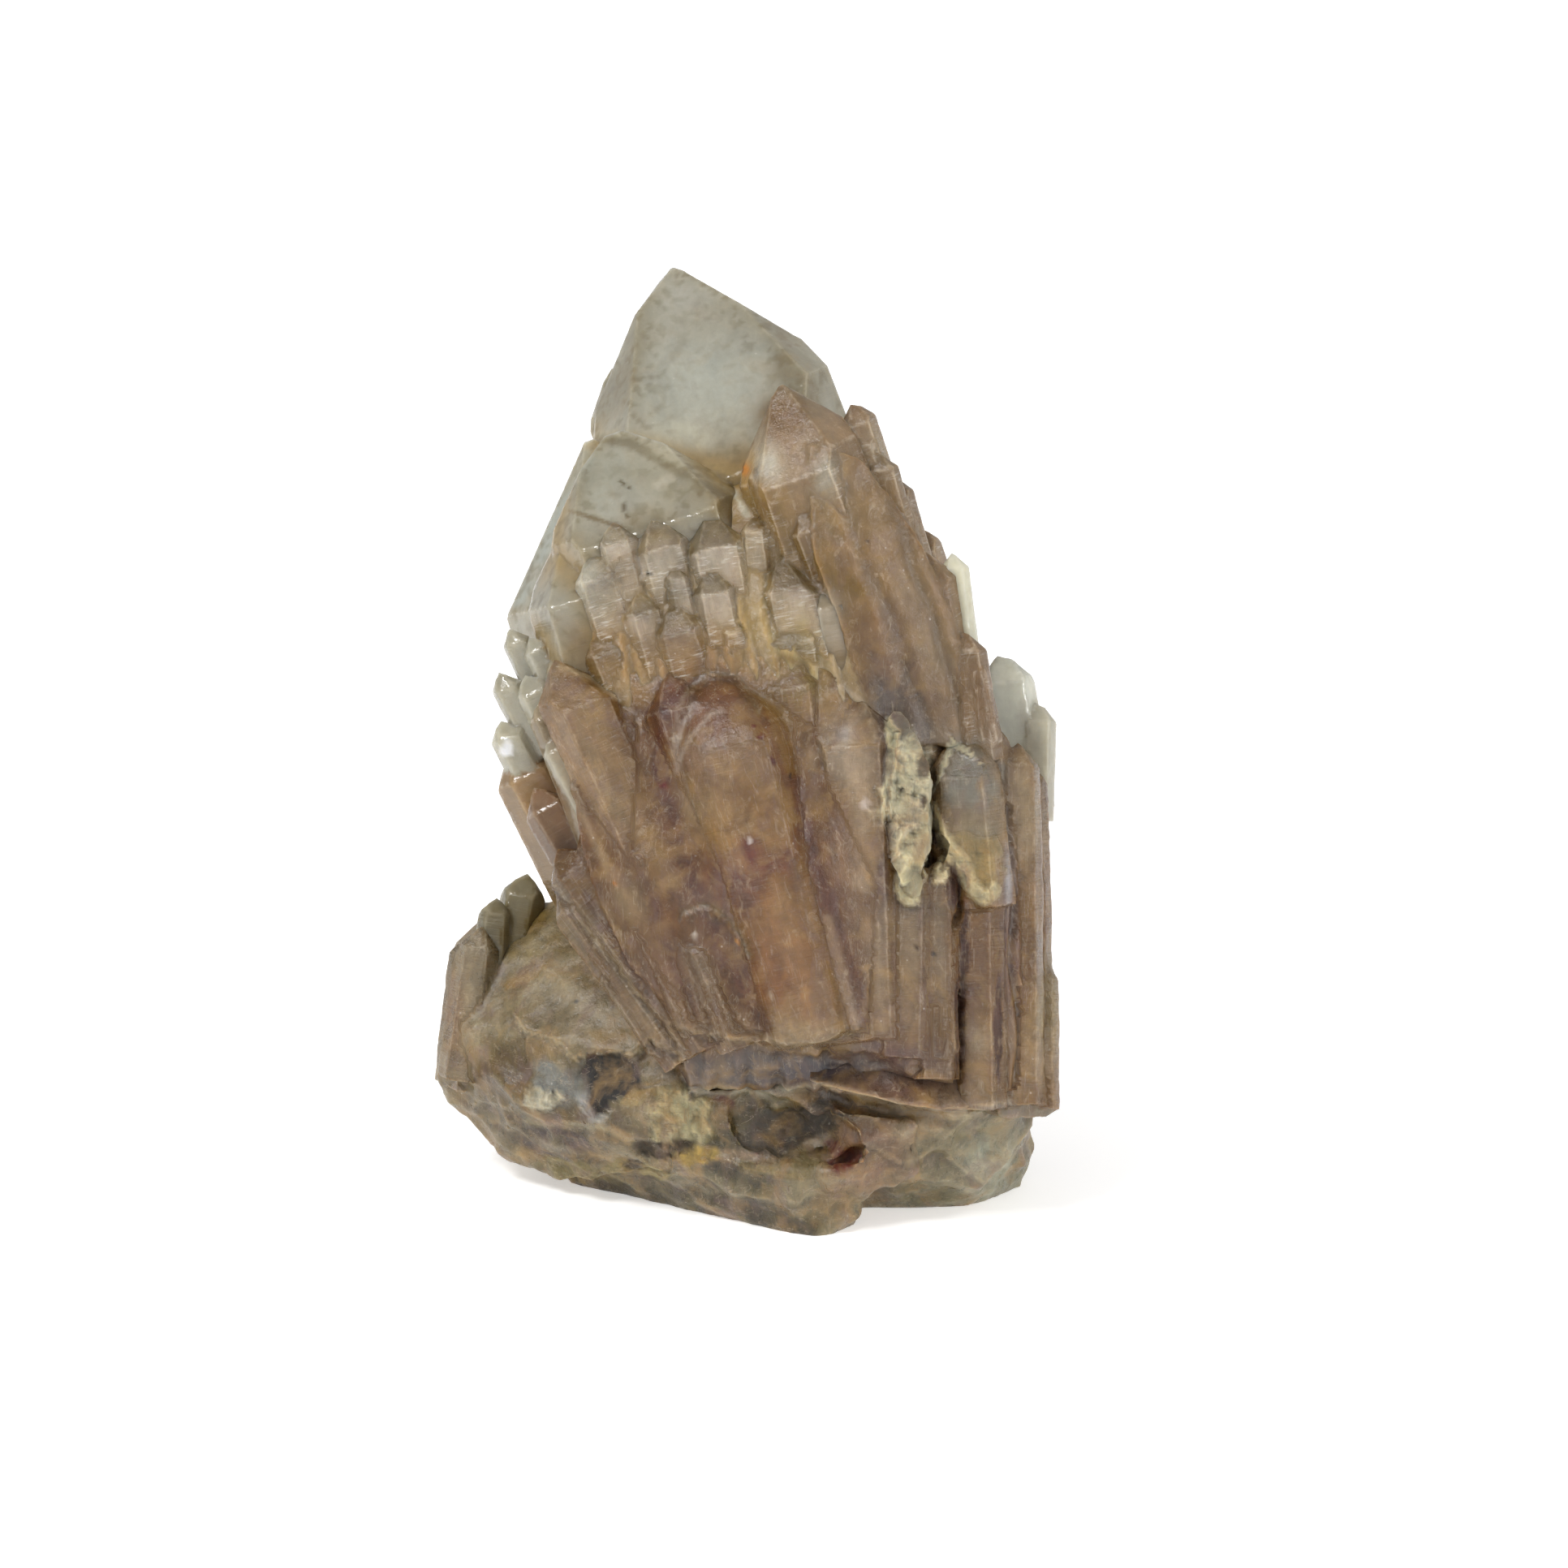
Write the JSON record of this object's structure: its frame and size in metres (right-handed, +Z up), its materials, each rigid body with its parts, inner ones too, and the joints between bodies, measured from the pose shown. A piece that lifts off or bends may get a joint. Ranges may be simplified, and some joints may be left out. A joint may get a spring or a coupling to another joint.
{
  "type": "citrine crystal cluster",
  "caption": "Free-standing cluster of fused quartz crystals that step up from a flat-cut broken foot to one large faceted point.",
  "frame": {"origin": "bottom centre of the bounding box, on the flat cut of the foot", "axes": "+Z up along the crystals, +Y towards the back, so that the pictured side looks along -Y"},
  "size_m": [0.0482, 0.038, 0.0683],
  "materials": {
    "quartz": "half clear to milky, satin crystal faces"
  },
  "bodies": {
    "root": {"citrine_cluster": "quartz"}
  },
  "joints": []
}
